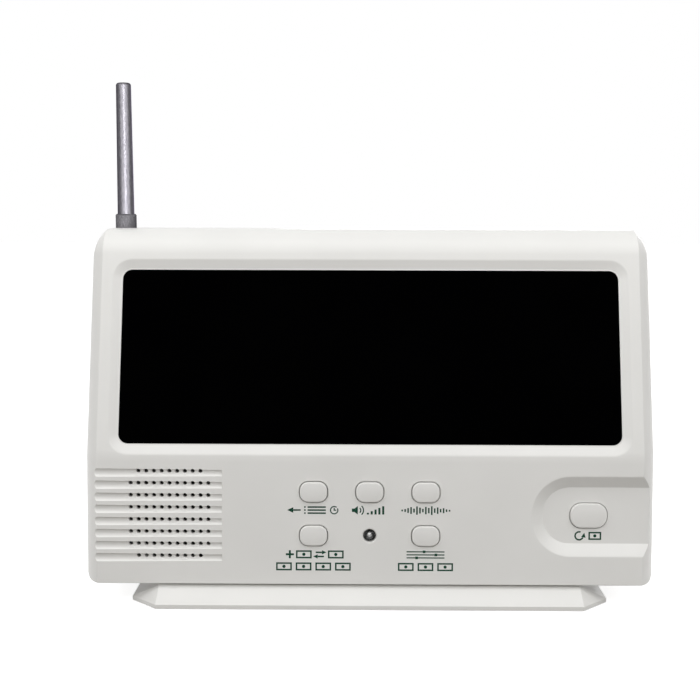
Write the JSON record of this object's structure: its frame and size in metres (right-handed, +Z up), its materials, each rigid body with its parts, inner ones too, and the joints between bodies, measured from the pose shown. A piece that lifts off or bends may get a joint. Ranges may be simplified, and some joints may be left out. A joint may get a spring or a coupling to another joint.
{
  "type": "nurse call monitor",
  "caption": "Desk console with a wide tinted display window, push keys, a reset key in a scoop, a grooved speaker grille, a stub antenna and a low stand.",
  "frame": {"origin": "on the table, under the middle of the stand, at the bottom of the rubber feet", "axes": "+Z up, +Y to the back, +X to the right of a person who faces the display"},
  "size_m": [0.2348, 0.09, 0.2144],
  "materials": {
    "housing": "fine textured light grey",
    "key": "satin light grey",
    "lens": "polished, tinted nearly black",
    "lamp": "clear epoxy",
    "antenna": "satin plated",
    "antenna_base": "satin dark grey",
    "rubber": "matt",
    "foam": "closed-cell foam",
    "dark_plastic": "moulded",
    "pale_plastic": "moulded",
    "circuit_board": "green solder mask",
    "steel": "zinc plated",
    "magnet": "ferrite",
    "paper": "pressed paper",
    "brass": "plated",
    "lead": "insulated wire",
    "ribbon": "flat flexible cable",
    "cell": "plain sleeve"
  },
  "bodies": {
    "console": {"front_housing": "housing", "rear_housing": "housing", "display_window": "lens", "window_gasket": "foam", "digit_blocks": "dark_plastic", "display_board": "circuit_board", "switch_bodies": "dark_plastic", "key_board": "circuit_board", "indicator_lamp": "lamp", "lamp_spacer": "pale_plastic", "speaker_gasket": "foam", "speaker_frame": "steel", "speaker_cone": "paper", "speaker_magnet": "magnet", "speaker_clips": "steel", "antenna_sleeve": "antenna", "antenna_core": "steel", "antenna_collar": "antenna_base", "antenna_stud": "brass", "antenna_nut": "brass", "antenna_lead": "lead", "stand_plate": "housing", "rubber_feet": "rubber", "stand_screws": "steel", "case_screws": "steel", "small_screws": "steel", "main_board": "circuit_board", "radio_can": "steel", "board_components": "dark_plastic", "board_connectors": "pale_plastic", "display_ribbon": "ribbon", "key_ribbon": "ribbon", "speaker_leads": "lead", "power_leads": "lead", "battery_leads": "lead", "power_inlet": "dark_plastic", "inlet_nut": "steel", "battery_cells": "cell", "battery_contacts": "steel", "battery_springs": "steel"},
    "review_button": {"review_key": "key", "review_plunger": "pale_plastic"},
    "volume_button": {"volume_key": "key", "volume_plunger": "pale_plastic"},
    "tone_button": {"tone_key": "key", "tone_plunger": "pale_plastic"},
    "add_button": {"add_key": "key", "add_plunger": "pale_plastic"},
    "program_button": {"program_key": "key", "program_plunger": "pale_plastic"},
    "reset_button": {"reset_key": "key", "reset_plunger": "pale_plastic"},
    "door": {"battery_door": "housing", "door_screw": "steel"}
  },
  "joints": [
    {"name": "review_press", "type": "slide", "parent": "console", "child": "review_button", "axis": [0, 0.9979, -0.0645], "range_m": [0, 0.0005], "stiffness_N_per_m": 3000},
    {"name": "volume_press", "type": "slide", "parent": "console", "child": "volume_button", "axis": [0, 0.9979, -0.0645], "range_m": [0, 0.0005], "stiffness_N_per_m": 3000},
    {"name": "tone_press", "type": "slide", "parent": "console", "child": "tone_button", "axis": [0, 0.9979, -0.0645], "range_m": [0, 0.0005], "stiffness_N_per_m": 3000},
    {"name": "add_press", "type": "slide", "parent": "console", "child": "add_button", "axis": [0, 0.9979, -0.0645], "range_m": [0, 0.0005], "stiffness_N_per_m": 3000},
    {"name": "program_press", "type": "slide", "parent": "console", "child": "program_button", "axis": [0, 0.9979, -0.0645], "range_m": [0, 0.0005], "stiffness_N_per_m": 3000},
    {"name": "reset_press", "type": "slide", "parent": "console", "child": "reset_button", "axis": [0, 0.9979, -0.0645], "range_m": [0, 0.0005], "stiffness_N_per_m": 3000},
    {"name": "door_hinge", "type": "hinge", "parent": "console", "child": "door", "pos_m": [0.052, 0.0206, 0.0962], "axis": [1, 0, 0], "range_deg": [0, 85]}
  ]
}
